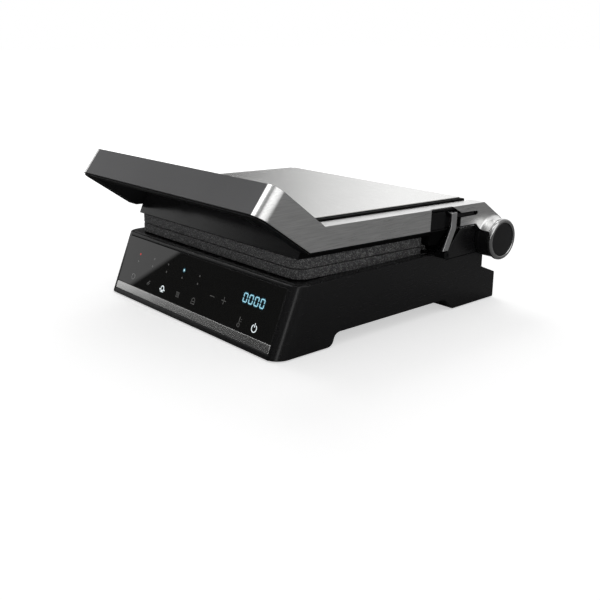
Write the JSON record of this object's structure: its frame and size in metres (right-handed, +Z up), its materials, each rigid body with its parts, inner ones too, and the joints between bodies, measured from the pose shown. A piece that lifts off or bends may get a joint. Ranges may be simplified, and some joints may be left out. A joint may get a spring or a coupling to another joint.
{
  "type": "electric contact grill with lid",
  "caption": "Countertop contact grill with two heated plates, a floating lid on side arms with a front handle, a touch panel, a release lever and a rear drip tray.",
  "frame": {"origin": "under the middle of the whole grill at table height", "axes": "+Z up, +X to the right seen from the front, front towards -Y"},
  "size_m": [0.357, 0.3484, 0.1661],
  "materials": {
    "housing_black": "matte",
    "deck_black": "matte",
    "cap_black": "satin",
    "tray_grey": "matte",
    "rocker_grey": "matte",
    "foot_rubber": "matte",
    "control_glass": "polished",
    "trim_silver": "satin",
    "board_green": "solder mask",
    "display_black": "gloss",
    "light_white": "frosted",
    "spring_brass": "bare",
    "relay_blue": "matte",
    "plate_coating": "speckled non-stick coating",
    "heater_steel": "heat darkened",
    "sheet_aluminium": "bare",
    "plain_steel": "bare",
    "brushed_steel": "brushed",
    "handle_grey": "satin, dark",
    "hub_chrome": "polished",
    "lever_silver": "satin",
    "fibre_board": "raw"
  },
  "bodies": {
    "base": {"base_housing": "housing_black", "hinge_towers": "housing_black", "tray_runners": "housing_black", "top_deck": "deck_black", "bottom_cover": "deck_black", "rubber_feet": "foot_rubber", "cover_screws": "plain_steel", "cord_gland": "foot_rubber", "control_glass": "control_glass", "trim_strip": "trim_silver", "control_board": "board_green", "display_module": "display_black", "status_lights": "light_white", "touch_springs": "spring_brass", "power_board": "board_green", "power_relays": "relay_blue", "lower_plate": "plate_coating", "lower_heater": "heater_steel", "lower_reflector": "sheet_aluminium", "lower_sensor": "spring_brass", "hinge_axles": "plain_steel", "hinge_brackets": "plain_steel", "axle_clips": "plain_steel", "lever_rest": "deck_black", "lower_release_pin": "plain_steel"},
    "drip_tray": {"drip_tray": "tray_grey"},
    "lower_rocker": {"lower_release": "rocker_grey"},
    "lid_arms": {"arm_skin_right": "brushed_steel", "arm_skin_left": "brushed_steel", "arm_core_right": "housing_black", "arm_core_left": "housing_black", "handle_panel": "handle_grey", "handle_grip": "deck_black", "grip_screws": "plain_steel", "hinge_collars": "housing_black", "hinge_bushes": "spring_brass", "hub_ring_right": "hub_chrome", "hub_ring_left": "hub_chrome", "hub_cap_right": "cap_black", "hub_cap_left": "cap_black", "head_pivot_pins": "plain_steel"},
    "lever": {"lever_slider": "deck_black", "release_lever": "lever_silver"},
    "head": {"head_housing": "housing_black", "top_cover": "brushed_steel", "upper_plate": "plate_coating", "upper_heater": "heater_steel", "upper_reflector": "sheet_aluminium", "upper_sensor": "spring_brass", "insulation_board": "fibre_board", "upper_release_pin": "plain_steel", "head_screws": "plain_steel"},
    "upper_rocker": {"upper_release": "rocker_grey"}
  },
  "joints": [
    {"name": "lid_hinge", "type": "hinge", "parent": "base", "child": "lid_arms", "pos_m": [0, 0.14873, 0.0744], "axis": [-1, 0, 0], "range_deg": [0, 176]},
    {"name": "head_tilt", "type": "hinge", "parent": "lid_arms", "child": "head", "pos_m": [0, 0.10905, 0.10421], "axis": [-1, 0, 0], "range_deg": [0, 3.5]},
    {"name": "lever_slide", "type": "slide", "parent": "lid_arms", "child": "lever", "axis": [0, 0.9996, -0.0297], "range_m": [0, 0.005]},
    {"name": "drip_tray_slide", "type": "slide", "parent": "base", "child": "drip_tray", "axis": [0, 1, 0], "range_m": [0, 0.12]},
    {"name": "lower_release_push", "type": "hinge", "parent": "base", "child": "lower_rocker", "pos_m": [-0.149, -0.02582, 0.043], "axis": [0, -1, 0], "range_deg": [0, 8], "stiffness_Nm_per_rad": 0.5, "springref_deg": -5.73},
    {"name": "upper_release_push", "type": "hinge", "parent": "head", "child": "upper_rocker", "pos_m": [-0.1355, -0.02441, 0.09767], "axis": [0, -0.9996, 0.0297], "range_deg": [0, 8], "stiffness_Nm_per_rad": 0.5, "springref_deg": -5.73}
  ]
}
